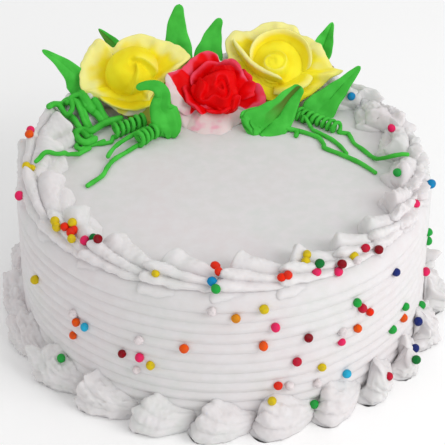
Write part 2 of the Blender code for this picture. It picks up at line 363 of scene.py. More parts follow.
def red_paint():
    """Red glaze brushed on white cream, thin and pink where it ends."""
    paint = Paint("red_rose_cream", 0.45, 0.15, (1.0, 0.35, 0.3), 0.002, gloss=0.06)
    streak = paint.noise(0.006, 4, 0.6)
    red = paint.blotched(0.012, 0.35, 0.65, linear(220, 3, 7), linear(236, 5, 9))
    thin = paint.plus_streaks(paint.value("pale"), streak, 0.8)
    glaze = paint.mix(paint.spread(thin, 0.55, 1.5), red, linear(234, 82, 108))
    cream = paint.blotched(0.010, 0.55, 0.72, linear(226, 208, 208), linear(232, 160, 182))
    edge = paint.plus_streaks(paint.value("bare"), streak, 0.16)
    paint.colour(paint.mix(paint.spread(edge, 0.5, 0.66), glaze, cream))
    paint.grain(0.003, 0.0001, 0.0008, 0.00003)
    return paint.material


def green_paint():
    """Green cream in two greens, with fine grain; olive is painted on as shade where a leaf is
    marked.
    """
    paint = Paint("leaf_cream", 0.55, 0.1, (0.4, 1.0, 0.4), 0.0015)
    body = paint.blotched(0.010, 0.3, 0.7, linear(60, 174, 55), linear(76, 196, 70), 3)
    # painted shade: where a leaf is marked, its green is darkened to olive
    paint.colour(paint.mix(paint.value("olive"), body, linear(82, 112, 34)))
    paint.grain(0.0022, 0.00009, 0.0006, 0.00003)
    return paint.material


def pearl_paint(name, colour):
    """A softly glossy sugar pearl, a little blotched."""
    paint = Paint("pearl_" + name, 0.4, gloss=0.06)
    worn = tuple(0.75 * channel + 0.02 for channel in colour[:3]) + (1.0,)
    paint.colour(paint.blotched(0.0016, 0.35, 0.7, colour, worn, 3))
    paint.bump((paint.noise(0.0012, 3), 0.00008))
    return paint.material


# ---------------------------------------------------------------- the cake's body

def wall_radius(azimuth, height):
    """The side's radius: combed bands with narrow grooves, a little uneven."""
    place = around(azimuth, CAKE_RADIUS, height)
    drift = ripple(place, 11, 110 * MM) * 0.3 * MM
    phase = (height + drift - COMB_TOP_GROOVE) / COMB_PITCH
    band = np.abs(np.sin(math.pi * phase)) ** 0.85
    stretched = place * np.array([1.0, 1.0, 3.0])
    depth = COMB_DEPTH * (0.9 + 0.22 * ripple(stretched, 12, 40 * MM))
    uneven = ripple(place, 13, 60 * MM) * 0.35 * MM
    by_band = np.concatenate([place[..., :2], np.round(phase)[..., None] * 7 * MM], axis=-1)
    steps = ripple(by_band, 14, 30 * MM) * 0.10 * MM
    return CAKE_RADIUS - 0.1 * MM - depth * (1.0 - band) + uneven + steps * band


def build_cake(material):
    """The combed wall, soft shoulder and smooth top, as one closed turned solid."""
    azimuth = np.linspace(0.0, 2.0 * math.pi, 400, endpoint=False)[None, :]
    wall_top = CAKE_HEIGHT - SHOULDER_DROP
    floor = np.array([0.02, 0.5, 0.985])[:, None] * CAKE_RADIUS
    wall = np.linspace(0.8 * MM, wall_top, 176)[:, None]
    bend = np.linspace(0.0, math.pi / 2, 9)[1:, None]
    inner = np.linspace(CAKE_RADIUS - SHOULDER_WIDTH, 1.2 * MM, 56)[1:, None]
    combed = wall_radius(azimuth, wall)
    shoulder = combed[-1:] - SHOULDER_WIDTH * (1 - np.cos(bend))
    points = np.concatenate([around(azimuth, floor, 0.0),
                             around(azimuth, combed, wall),
                             around(azimuth, shoulder, wall_top + SHOULDER_DROP * np.sin(bend)),
                             around(azimuth, inner, CAKE_HEIGHT)])
    top = points[..., 2] > CAKE_HEIGHT - 0.01 * MM
    swirl = ripple(points, 21, 55 * MM) * 0.28 * MM + ripple(points, 22, 16 * MM) * 0.06 * MM
    points[..., 2] += np.where(top, swirl, 0.0)
    pile = Pile()
    pile.add_rings(points)
    cake = pile.piece("cake_cream", material)
    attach(cake, "root")
    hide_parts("cake")
    return cake


# ---------------------------------------------------------------- piped shells

def slanted_azimuth(azimuth, radius, lean, pivot):
    """The azimuth at this radius on an upright plane that leans back from azimuth at pivot."""
    reach = np.sqrt(np.maximum(radius ** 2 - (pivot * math.sin(lean)) ** 2, 0))
    along = reach - pivot * math.cos(lean)
    return azimuth - np.arctan2(along * math.sin(lean), pivot + along * math.cos(lean))


# Lengths are in millimetres and angles in degrees. edges: where a shell's ribs meet, round its
# section from 0 outwards to 90 up. late: how far each rib's head lies behind the shell's start.
TOP_STYLE = {
    "edges": (214, 142, 70, 40, 8, -34), "rows": 50, "rib_columns": 16,
    "centre_radius": (86.5, 89.5), "centre_height": CAKE_HEIGHT / MM - 1.0,
    "inward": 12.8, "outward": 13.8, "upward": 13.6, "tail": 0.60, "drift": 13.0,
    "depth": 0.23, "stagger": 1.4, "peak": 2.8, "corner": 1.15, "bulge": 0.0,
    "late": (7.0, 6.5, 0.0, 0.5, -2.5), "closing": 0.62, "head": 4.4, "round": 2.1,
    "lean": 27, "pivot": 73.5, "turned": 0.0, "left_lift": 0.18, "soft": 1.0}
BASE_STYLE = {
    "edges": (112, 74, 44, 14, -18, -50), "rows": 46, "rib_columns": 13,
    "centre_radius": (99.5, 98.5), "centre_height": 4.5,
    "inward": 9.0, "outward": 12.4, "upward": 16.5, "tail": 0.42, "drift": 14.0,
    "depth": 0.085, "stagger": 0.6, "peak": 2.4, "corner": 0.6, "bulge": 1.0,
    "late": (8.0, 5.5, 3.5, 1.5, 0.0), "closing": 0.55, "head": 8.0, "round": 2.0,
    "lean": 20, "pivot": 99.0, "turned": -2.5, "left_lift": 0.0, "soft": 0.0}
# how many of a shell's rings make its head, and the ring whose corner is drawn to a peak
HEAD_ROWS = 15
PEAK_ROW = 7


def shell_section(style):
    """The angles round a shell's section, and how far each is round the hidden underside."""
    edges = style["edges"]
    places = np.arange((len(edges) - 1) * style["rib_columns"] + 1) / style["rib_columns"]
    shown = np.interp(places, np.arange(len(edges)), edges)
    hidden = np.linspace(0.0, 1.0, 16)[1:-1]
    back = edges[-1] - hidden * (360.0 - edges[0] + edges[-1])
    under = np.concatenate([np.zeros(shown.size), np.sin(hidden * math.pi)])
    return np.concatenate([shown, back])[None, :], under[None, :]


def shell_rings(start, end, style, seed):
    """Rings of one piped shell: blunt lobed head at start, ribs that taper towards end."""
    rng = np.random.default_rng(seed)
    edges = np.array(style["edges"], dtype=float)
    ribs = len(edges) - 1
    size = rng.uniform(0.93, 1.05)
    depth = style["depth"] * rng.uniform(0.85, 1.2)
    late_of = np.array(style["late"]) * rng.uniform(0.5, 1.35)
    late_of = late_of + rng.normal(0.0, 0.5, ribs) * style["stagger"]
    height_of = rng.uniform(0.94, 1.06, ribs)

    # u is 0 at the head's tip and 1 where the next shell starts, which covers the tail.
    head = 0.0005 + np.linspace(0.0, 1.0, HEAD_ROWS)[:, None] ** 1.5 * 0.1995
    body = np.linspace(0.2, 1.22, style["rows"] - HEAD_ROWS + 1)[1:, None]
    u = np.concatenate([head, body])

    turn, under = shell_section(style)
    moved = np.clip(turn + style["drift"] * (u - 0.25), edges[-1] + 0.01, edges[0] - 0.01)
    place = np.interp(-moved, -edges, np.arange(ribs + 1))
    rib = np.floor(place).astype(int)
    across = 2.0 * (place - rib) - 1.0
    wide = (edges[rib] - edges[rib + 1]) / 30.0
    crest = (1.0 - np.abs(across) ** 2.1) * (1 - under)
    middles = np.arange(ribs) + 0.5
    late = np.interp(place, middles, late_of) + 1.2 * (1.0 - crest)
    tall = np.interp(place, middles, height_of)
    turn = np.radians(turn)
    outside = np.cos(turn) > 0

    length = (end - start) * CAKE_RADIUS / MM
    soft = style["soft"] * smoothstep(0.40, 0.75, math.sin(start))
    head_length = style["head"] * rng.uniform(1.0, 1.4) * (1.0 + 0.9 * soft)
    behind = np.clip(u * length / head_length, 0.0, 1.0)
    cap = (1.0 - (1.0 - behind) ** style["round"]) ** (1 / style["round"])
    taper = 1.0 - (1.0 - style["tail"]) * np.clip(u, 0, 1.3) ** 1.15
    swell = 1.0 + 0.05 * np.exp(-((u - 0.22) / 0.16) ** 2)
    groove = depth * np.sqrt(wide) * (1.0 - crest) * (1.1 - 0.3 * u)
    reach = size * cap * taper * swell * tall * (1.0 - groove)
    reach = reach * (1.0 - (1.0 - style["closing"]) * under)

    first_radius, last_radius = style["centre_radius"]
    belly = np.sin(math.pi * np.clip(0.14 + 0.72 * u, 0, 1)) ** 0.8 / taper
    belly = np.where(outside, 1.0 + style["bulge"] * (belly - 1.0), 1.0)
    sideways = np.where(outside, style["outward"], style["inward"])
    radius = (first_radius + (last_radius - first_radius) * u
              + np.cos(turn) * sideways * reach * belly)
    standing = 1.0 + style["left_lift"] * smoothstep(0.5, 0.95, -math.sin(start))
    height = style["centre_height"] + np.sin(turn) * style["upward"] * standing * reach
    shift = late * np.clip(1.0 - u, 0.0, 1.0) ** 1.3 * (1 - under)
    azimuth = start + (end - start) * u + shift * MM / CAKE_RADIUS
    azimuth = azimuth + math.radians(style["turned"])
    azimuth = slanted_azimuth(azimuth, radius, math.radians(style["lean"]), style["pivot"])
    points = around(azimuth, radius, height) * MM

    corner = points[PEAK_ROW, int(style["corner"] * style["rib_columns"])]
    near = np.linalg.norm(points - corner, axis=-1)
    along = np.array([math.cos(start), math.sin(start), 0.0])
    aim = 0.9 * unit(corner - points[PEAK_ROW].mean(axis=0)) - 0.5 * along
    lobed = style["soft"] * smoothstep(0.7, 0.85, -math.sin(start))
    pull = style["peak"] * (1 - 0.6 * soft + 0.9 * lobed) * rng.uniform(0.5, 1.2)
    pull = pull * np.exp(-(near / ((3.4 + 1.6 * lobed) * MM)) ** 2)
    return points + (pull * MM)[..., None] * unit(aim)


def roughen(points, seed, amount, fine):
    """Pushes each ring's points in or out a little, as cream is never even."""
    middle = points.mean(axis=1, keepdims=True)
    outward = unit(points - middle)
    bumps = 0.36 * ripple(points, seed, 9 * MM) + fine * ripple(points, seed + 1, 2.6 * MM)
    return points + outward * (bumps * amount * MM)[..., None]


def pull_peaks(points, seed, count, height, lowest):
    """Draws small soft points out of the cream, as a lifted nozzle leaves."""
    rng = np.random.default_rng(seed)
    for _ in range(count):
        row = rng.integers(4, max(6, points.shape[0] // 3))
        column = rng.integers(8, points.shape[1] // 2)
        target = points[row, column].copy()
        if target[2] < lowest:
            continue
        near = np.linalg.norm(points - target, axis=-1)
        pull = np.exp(-(near / (2.7 * MM)) ** 1.6) * height * rng.uniform(0.5, 1.0)
        aim = unit(target - points[row].mean(axis=0)) + rng.normal(0, 0.35, 3)
        points = points + pull[..., None] * unit(aim)
    return points


def shell_spans(front_starts, back_count):
    """Start and end azimuths: as given in the front, evenly shared round the back."""
    first, last = front_starts[0] + 360, front_starts[-1]
    back = [last + (first - last) * step / (back_count + 1) for step in range(1, back_count + 1)]
    starts = list(front_starts) + back
    return list(zip(starts, starts[1:] + [first]))


def build_border(prefix, spans, style, material, seed):
    """One border of shells, a piece for each CAD shell."""
    pieces = []
    for number, (start, end) in enumerate(spans, 1):
        points = shell_rings(math.radians(start), math.radians(end), style, seed + number)
        ragged = 60 < start < 170
        left = -100 < start < -45
        amount = 2.3 if ragged else 1.8 if left else 1.4
        points = roughen(points, seed + 100 + number, amount, 0.20 if ragged else 0.13)
        if style is TOP_STYLE:
            count, size = (6, 3.6) if ragged else (3, 3.0) if left else (1, 2.0)
            lowest_peak = CAKE_HEIGHT + 3 * MM
        else:
            sideways = abs(math.sin(math.radians(start))) > 0.6
            points = roughen(points, seed + 300 + number, 1.6 if sideways else 0.5, 0.3)
            count, size = (7, 4.2) if sideways else (2, 2.0)
            lowest_peak = 3 * MM
        points = pull_peaks(points, seed + 200 + number, count, size * MM, lowest_peak)
        points[..., 2] = np.maximum(points[..., 2], 0.1 * MM)
        pile = Pile()
        pile.add_rings(points)
        shell = pile.piece("%s_cream_%02d" % (prefix, number), material)
        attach(shell, "root")
        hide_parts("%s_%02d" % (prefix, number))
        pieces.append(shell)
    return pieces


# ---------------------------------------------------------------- roses

# A petal's first ten values, in degrees and millimetres in its rose's own plane, 0 degrees to
# the right and 90 to the back: middle of the sweep (x, y), its centre angle and half width,
# then radius and height at the foot, the belly and the rim.
PETAL_KEYS = ("x", "y", "centre", "half", "foot_r", "foot_h", "belly_r", "belly_h",
              "rim_r", "rim_h")
# under is how much of a petal's back is darkened to olive, as painted shade.
PETAL_USUAL = {"round": 0.42, "blunt": 2.6, "notch": 0.0, "notch_at": 0.0, "curl": 0.0,
               "skew": 0.0, "waves": 0.0, "wave_count": 7.0, "thick": 2.5, "tilt": 0.0,
               "pale": 1.0, "pale_from": 0.45, "under": 0.35}
HEART_PIVOT = 2.0


def bowed(petal, what, t):
    """The petal's radius or height as t goes from 0 at its foot to 1 at its rim."""
    foot, belly, rim = (petal[place + what] for place in ("foot", "belly", "rim"))
    bend = 2 * belly - (foot + rim) / 2
    return (1 - t) ** 2 * foot + 2 * t * (1 - t) * bend + t ** 2 * rim


def petal_sheet(petal, seed):
    """A petal's middle surface in the rose's frame, its thickness, and the way to its rim."""
    s = end_spacing(30)[:, None]
    q = (end_spacing(46) * 2.0 - 1.0)[None, :]
    reach = 1.0 - petal["round"] * np.abs(q) ** petal["blunt"]
    reach = reach - petal["notch"] * np.exp(-((q - petal["notch_at"]) / 0.16) ** 2)
    radius = bowed(petal, "_r", s * reach)
    height = bowed(petal, "_h", s * reach)
    rolled = np.clip((s - 0.68) / 0.32, 0, 1)
    height = height - petal["curl"] * rolled ** 2
    radius = radius + 0.35 * abs(petal["curl"]) * rolled
    radius = radius * (1.0 + 0.05 * petal["skew"] * q)
    height = height + 1.1 * petal["skew"] * q * s
    turn = np.radians(petal["centre"] + petal["half"] * q * (1.0 - 0.10 * s))
    wave = q * petal["wave_count"]
    height = height + petal["waves"] * np.sin(wave + seed) * s ** 2
    radius = radius + 0.6 * petal["waves"] * np.cos(wave * 1.3 + seed) * s ** 2
    middle = polar((petal["x"], petal["y"]), turn, radius, height) * MM
    uneven = 0.45 * ripple(middle, seed, 15 * MM) + 0.12 * ripple(middle, seed + 1, 4 * MM)
    middle[..., 2] += uneven * MM * s
    middle[..., :2] *= (1.0 + 0.018 * ripple(middle, seed + 2, 12 * MM) * s)[..., None]
    side = np.sqrt(np.clip(1.0 - np.abs(q) ** 5, 0, 1))
    ends = np.sqrt(np.clip(1.0 - np.abs(2 * s - 1) ** 9, 0, 1))
    thickness = petal["thick"] * MM * (1.0 - 0.42 * s) * side * ends
    return middle, thickness, s * np.ones_like(q)


def spiral_folds(rose, turn, far, flat):
    """How high a heart's petals stand: one edge that winds outwards round its pole."""
    unrest = rose["unrest"] * ripple(flat, rose["seed"] + 4, 8 * MM)
    phase = (far / rose["fold_pitch"] - rose["fold_way"] * turn / (2 * math.pi)
             + rose["fold_start"] + unrest)
    share = phase - np.floor(phase)
    return smoothstep(0.0, 0.10, share) * (1.0 - share) ** 1.1


def arm_folds(rose, turn, far):
    """How high a heart's petals stand: each is highest at its own arm's edge."""
    arms = rose["arms"]
    turned = np.degrees(turn) + rose["twist"] * far + rose["swirl"] * np.exp(-far / 3.2)
    turned = (turned - arms[0]) % 360.0
    edges = np.array([*arms, arms[0] + 360.0]) - arms[0]
    arm = np.searchsorted(edges, turned, side="right") - 1
    past = turned - edges[arm]
    share = past / (edges[arm + 1] - edges[arm])
    return smoothstep(0.0, 14.0, past) * (1.0 - share) ** 1.1


def folded_heart(rose):
    """The rolled middle of a rose: a turned profile with petal edges round its pole."""
    profile = smooth_route(rose["heart"], 0.35)
    across = profile[:, :1]
    theta = np.linspace(0, 2 * math.pi, 150, endpoint=False)[None, :]
    step = np.linalg.norm(np.diff(profile, axis=0), axis=1)
    arc = np.concatenate([[0], np.cumsum(step)])[:, None]
    lobes, lobe_size, lobe_turn = rose["lobes"]
    squeeze = 1.0 + lobe_size * np.cos(lobes * theta - math.radians(lobe_turn))
    pole_x, pole_y = rose["pole"]
    from_pole_x = np.cos(theta) * across * squeeze - pole_x
    from_pole_y = np.sin(theta) * across * squeeze - pole_y
    far = np.hypot(from_pole_x, from_pole_y) + 0.6 * (arc - across)
    turn = np.arctan2(from_pole_y, from_pole_x)
    if "arms" in rose:
        fold = arm_folds(rose, turn, far)
    else:
        fold = spiral_folds(rose, turn, far, polar((0, 0), theta, across, 0.0) * MM)
    fold_end = rose["fold_end"]
    quiet = smoothstep(0.6, 2.6, far) * (1 - smoothstep(fold_end, fold_end + 3, arc))
    outward = np.gradient(profile, axis=0)
    outward = unit(np.column_stack([-outward[:, 1], outward[:, 0]]))
    outward = outward * np.sign(outward[1, 1] + 1e-9)
    push = rose["fold_height"] * fold * quiet
    radius = np.maximum(across * squeeze + outward[:, :1] * push, 0.02)
    height = profile[:, 1:] + outward[:, 1:] * push
    points = polar(rose["heart_at"], theta, radius, height) * MM
    lumps = 0.35 * ripple(points, rose["seed"] + 3, 9 * MM)
    points[..., 2] += lumps * MM * smoothstep(1.0, 5.0, arc)
    return points, rose["heart_pale"] * fold ** 2 * quiet


def tilted(points, degrees, pivot):
    """Points leant forwards about a level line through pivot, to face the front more."""
    lean = math.radians(degrees)
    offset = points - np.array(pivot) * MM
    y = offset[..., 1] * math.cos(lean) - offset[..., 2] * math.sin(lean)
    z = offset[..., 1] * math.sin(lean) + offset[..., 2] * math.cos(lean)
    return np.stack([offset[..., 0], y, z], axis=-1) + np.array(pivot) * MM


def by_angle(table, degrees):
    """The values at these angles, from rows of (angle, value)."""
    angles, values = np.array(table, dtype=float).T
    return np.interp(degrees % 360.0, angles, values)[None, :]


def rose_cup(rose, place):
    """The outer petals as one cup: up the outside, over the rim, down inside to the heart."""
    seed = rose["seed"]
    rim = closed_curve(rose["rim"], 264)
    rim[:, 2] += 0.55 * ripple(rim * MM, seed + 5, 7 * MM)
    rim[:, :2] *= 1.0 + 0.012 * ripple(rim * MM, seed + 6, 5 * MM)[:, None]
    middle = np.array(rose["bowl_at"])
    out = unit(rim[:, :2] - middle)
    turn = np.degrees(np.arctan2(out[:, 1], out[:, 0]))
    lift = np.zeros(len(rim))
    for angle, size, length in rose["steps"]:
        gap = (turn - angle) % 360.0
        lift += size * smoothstep(0.0, 6.0, gap) * (1.0 - smoothstep(6.0, length, gap))
    rim[:, 2] += 0.6 * lift

    edge = rose["edge"]
    outward = np.column_stack([out, np.zeros(len(rim))])
    under_rim = place((rim - outward * 0.3 - np.array([0, 0, edge])) * MM)
    foot = on_top((*rose["foot"], -0.4)) + outward * rose["foot_size"] * MM
    foot[:, :2] += out * (0.9 * ripple(foot, seed + 7, 8 * MM) * MM)[:, None]
    flare, climb = rose["skirt"]
    rings = []
    for s in np.linspace(0.0, 1.0, 16):
        way = np.array([s ** flare, s ** flare, s ** climb])
        rings.append(foot * (1 - way) + under_rim * way)
    outer_count = len(rings)
    rings.append(place((rim + outward * 0.5) * MM))

    rim_high = rim[:, 2] + edge
    low = rose["bowl"]
    depth = np.linspace(0.0, 0.985, 40)
    for v in depth:
        planar = rim[:, :2] * (1 - v) + (middle + out * 5.0) * v
        height = ((1 - v) ** 2 * rim_high + 2 * v * (1 - v) * (low - 1.5 + 0.25 * rim_high)
                  + v ** 2 * low)
        curl = rose["curl"] * max(0.0, 1.0 - v / 0.22) ** 2
        height = height + lift * (1 - v) ** 0.7 * min(1.0, v / 0.08) * 0.6 - curl
        points = np.column_stack([planar, height]) * MM
        uneven = 0.5 * ripple(points, seed + 8, 8 * MM)
        points[:, 2] += uneven * MM * math.sin(math.pi * min(1.0, v + 0.15))
        rings.append(place(points))
    rings = np.array(rings)

    v = np.concatenate([np.zeros(outer_count + 1), depth])[:, None]
    outside = (np.arange(len(rings)) < outer_count)[:, None] * np.ones(len(rim))
    mottle = 0.10 * ripple(rings, seed + 9, 8 * MM)
    pale = 1.0 - smoothstep(0.05, rose["pale_in"], v + mottle)
    pale = pale * (1 - 0.5 * outside) * by_angle(rose["pale_by"], turn)
    reach = by_angle(rose["bare_in"], turn)
    bare = 1.0 - smoothstep(reach - 0.07, reach + 0.05, v + 0.5 * mottle)
    bare = np.where(reach > 0.01, bare, 0.0)
    bare = np.where(outside > 0, rose["bare"], bare)
    # The cup's outer face takes the rose's share of olive painted shade.
    return rings, {"pale": pale, "under": outside * rose["under"], "bare": bare}


def build_rose(rose, petals, material, node):
    """One rose: the cup of outer petals, the folded heart, then the inner petals."""
    lean = math.radians(rose["lean"])
    axes = np.array([[1.0, 0.0, 0.0],
                     [0.0, math.cos(lean), math.sin(lean)],
                     [0.0, -math.sin(lean), math.cos(lean)]])
    centre = on_top(rose["centre"])

    def place(points):
        """Points from the rose's own plane to the cake's frame."""
        return (centre + points[..., :1] * axes[0] + points[..., 1:2] * axes[1]
                + points[..., 2:] * axes[2])

    pile = Pile()
    cup, cup_values = rose_cup(rose, place)
    pile.add_rings(cup, **cup_values)
    heart, heart_pale = folded_heart(rose)
    heart = tilted(heart, rose["heart_lean"], (*rose["heart_at"], HEART_PIVOT))
    pile.add_rings(place(heart), pale=heart_pale, under=0.0, bare=0.0)

    for number, (sizes, changes) in enumerate(petals):
        petal = {**PETAL_USUAL, **dict(zip(PETAL_KEYS, sizes)), **changes}
        middle, thickness, way = petal_sheet(petal, rose["seed"] + 10 * number)
        middle = tilted(middle, petal["tilt"], (petal["x"], petal["y"], 2.0))
        pale = smoothstep(petal["pale_from"], 1.0, way) * petal["pale"]
        # Each petal's back takes its share of olive painted shade; its front takes none.
        pile.add_sheet(place(middle), thickness, pale=pale, under=(0.0, petal["under"]), bare=0.0)
    piece = pile.piece(node + "_petals", material)
    keep_above(piece, CAKE_HEIGHT - 0.8 * MM)
    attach(piece, "root")
    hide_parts(node)
    return piece


# rim: points (right, back, up) in millimetres round the outer petals' edge, in the rose's
# own plane. steps: where one petal's edge lies over the next (degrees, rise, reach).
# heart: radius and height from the heart's top down. pole: where its folds wind from.
# pale_by and bare_in: how pale the rim is, and how far in the white shows, by degrees.
# under: how much of the cup's outside is darkened to olive, as painted shade.
ROSE_LEFT = {
    "centre": (-45, 58, 17), "foot": (-38, 50), "foot_size": 11, "skirt": (1.5, 0.85),
    "lean": 18, "seed": 300,
    "rim": ((27.5, 9, 3), (24.5, 14, 4), (19, 17.5, 5), (12, 19, 6), (7, 21.5, 7),
            (-1, 21.5, 7), (-7, 18.8, 6.5), (-10.5, 15.8, 4), (-14, 17.5, 5.2), (-18.5, 18.5, 6),
            (-23, 14, 5), (-26, 6.5, 3.5), (-27, -2, 1.5), (-25.5, -8.5, -1.5), (-19, -12, -3.5),
            (-12, -15.5, -4.5), (-5, -19.5, -6), (1, -20, -6.5), (6.5, -15.5, -4.5),
            (10, -8.5, -2), (16, -2.5, 0.5), (23, 4, 2)),
    "steps": ((-8, 1.6, 60), (122, 2.4, 70), (196, 2.2, 60), (305, 1.8, 60)),
    "edge": 1.0, "bowl": -1.0, "curl": 0.8, "pale_in": 0.75, "under": 1.0, "bare": 0.0,
    "pale_by": ((0, 0.8), (40, 0.9), (150, 0.9), (190, 1), (230, 0.5), (300, 0.7), (360, 0.8)),
    "bare_in": ((0, 0), (220, 0), (228, 0.04), (242, 0.05), (250, 0), (258, 0), (272, 0.22),
                (284, 0.30), (294, 0.12), (300, 0), (360, 0)),
    "bowl_at": (-1.6, -1.5), "heart_at": (-1.8, 0.6), "heart_lean": 24,
    "heart": ((0, 11.4), (2.5, 11.6), (5.5, 11.1), (8.8, 9.0), (11.3, 5.4), (12.5, 1.2),
              (12.0, -3.5), (9.0, -7.0)),
    "pole": (1.6, 2.0), "fold_height": 3.5, "fold_end": 13.0, "arms": (-84, -12),
    "twist": 1.8, "swirl": -75,
    "lobes": (2, 0.06, 60), "heart_pale": 0.55}
PETALS_LEFT = (
    ((0, 0, 262, 62, 6, -8, 15, -4, 19.5, -1.0),
     {"curl": 1.4, "pale": 0.7, "pale_from": 0.8, "blunt": 6, "round": 0.16, "thick": 2.8,
      "skew": -1.5}),
)

ROSE_RIGHT = {
    "centre": (28, 70, 16.5), "foot": (25, 60), "foot_size": 11, "skirt": (1.5, 0.85),
    "lean": 18, "seed": 500,
    "rim": ((32, -4, -1), (27.5, -2.5, 0), (25, 1.5, 1.5), (21.5, 9, 3), (17, 14, 4),
            (11.5, 17, 4.5), (8, 21, 6), (-1, 23, 7), (-8.5, 21.5, 7), (-14.5, 18, 5),
            (-23.5, 17.5, 5), (-27, 11.5, 4), (-25.5, 3, 3), (-22, -6, 1), (-16, -14, -1),
            (-7, -19.5, -3), (3, -20, -6), (10.5, -19.5, -7), (17, -15, -4.5), (24, -9, -2.5)),
    "steps": ((-12, 1.8, 60), (58, 1.6, 50), (118, 2.0, 60), (190, 1.6, 60), (300, 2.0, 60)),
    "edge": 1.0, "bowl": -1.0, "curl": 0.8, "pale_in": 0.6, "under": 0.6, "bare": 0.0,
    "pale_by": ((0, 0.7), (50, 1), (130, 1), (190, 0.6), (250, 0.2), (310, 0.2), (360, 0.7)),
    "bare_in": ((0, 0), (360, 0)),
    "bowl_at": (-2.0, -4.0), "heart_at": (-2.0, -4.0), "heart_lean": 24,
    "heart": ((0, 9.2), (1.4, 9.4), (2.8, 9.3), (4.4, 8.7), (5.8, 7.0), (6.8, 4.8), (8.0, 3.0),
              (10.0, 1.5), (13.0, 0.2), (15.0, -1.5), (13.0, -4), (8.0, -7.0)),
    "pole": (-1.2, 1.8), "unrest": 0.05, "fold_pitch": 6.8, "fold_height": 1.7, "fold_way": 1,
    "fold_start": 0.15, "fold_end": 9.0,
    "lobes": (2, 0.08, 150), "heart_pale": 0.7}
PETALS_RIGHT = (
    ((14, 18, 219, 32, 30.5, -6, 34, 1.5, 36.0, 8.2),
     {"round": 0.12, "blunt": 5, "thick": 4.4, "skew": -1.0, "pale": 0.9,
      "pale_from": 0.8, "under": 0.0}),
    ((0, -1, 300, 44, 6, -6, 13, -1, 18.5, 2.5),
     {"curl": 2.4, "skew": 0.6, "blunt": 5, "round": 0.18, "thick": 3.2, "pale": 0.7}),
    ((1.2, 0.2, 80, 108, 7, -4, 13.6, 2.0, 16.2, 8.0),
     {"round": 0.26, "skew": 0.8, "thick": 3.2, "blunt": 4, "tilt": 10, "pale": 0.8}),
)

ROSE_RED = {
    "centre": (-4, 52, 11), "foot": (-7, 45), "foot_size": 15, "skirt": (1.0, 0.9),
    "lean": 20, "seed": 700,
    "rim": ((24.5, -1.5, 2), (21.5, 3, 3), (17.5, 3.5, 4), (14, 6.5, 5), (12, 12.5, 6.5),
            (7.5, 16.5, 7), (2.5, 15, 5.5), (0.5, 18, 7), (-4, 20, 8), (-9.5, 17.5, 8),
            (-14, 13.5, 7.5), (-18.5, 8.5, 6.5), (-24.5, 5, 7), (-24.5, -1, 5.5),
            (-22, -7, 2.5), (-18.5, -11, 0), (-13.5, -12.5, -2), (-8, -8.5, -1.5),
            (0, -10, -2.5), (10, -8, -2.5), (18.5, -10.5, -2.5), (24, -7, 0)),
    "steps": ((20, 1.8, 50), (74, 2.2, 50), (150, 2.0, 50), (225, 1.6, 50), (300, 1.4, 60)),
    "edge": 0.9, "bowl": 0.5, "curl": 0.6, "pale_in": 0.30, "under": 0.0, "bare": 1.0,
    "pale_by": ((0, 1), (360, 1)),
    "bare_in": ((0, 0), (82, 0), (88, 0.10), (94, 0), (150, 0), (166, 0.04), (180, 0.26),
                (205, 0.40), (214, 0.30), (222, 0.02), (240, 0.02), (262, 0.02), (300, 0.02),
                (335, 0.02), (350, 0), (360, 0)),
    "bowl_at": (1.4, -0.4), "heart_at": (1.4, -0.4), "heart_lean": 22,
    "heart": ((0, 7.6), (1.6, 8.0), (3.4, 7.8), (5.4, 7.2), (7.4, 6.6), (9.2, 5.8), (10.6, 4.6),
              (11.4, 2.4), (11.4, -0.5), (10.4, -3.5), (8.0, -6.5)),
    "pole": (0.4, 1.2), "unrest": 0.34, "fold_pitch": 6.4, "fold_height": 2.8, "fold_way": -1,
    "fold_start": 0.3, "fold_end": 10.5,
    "lobes": (3, 0.17, 200), "heart_pale": 0.35}
PETALS_RED = (
    ((0.5, 0, 12, 40, 6, -5, 14, 1, 19.0, 4.0),
     {"waves": 1.0, "wave_count": 9.0, "blunt": 4, "round": 0.18, "thick": 3.0, "pale": 0.5}),
    ((1.0, -0.5, 104, 76, 6, -5, 12.8, 2.5, 14.6, 7.6),
     {"round": 0.18, "pale": 0.7, "blunt": 4, "thick": 2.8, "skew": -1.0, "waves": 0.9,
      "notch": 0.10, "notch_at": -0.2, "tilt": 4}),
    ((0.6, -1.0, 196, 52, 6, -5, 13.4, 0.5, 16.0, 4.4),
     {"round": 0.2, "pale": 0.5, "blunt": 4, "thick": 2.8, "waves": 0.7}),
    ((0.6, -1.0, 292, 60, 6, -5, 10.8, -0.6, 12.2, 2.2),
     {"pale": 0.3, "round": 0.2, "blunt": 4, "thick": 2.8, "skew": 1.0, "waves": 0.7}),
)
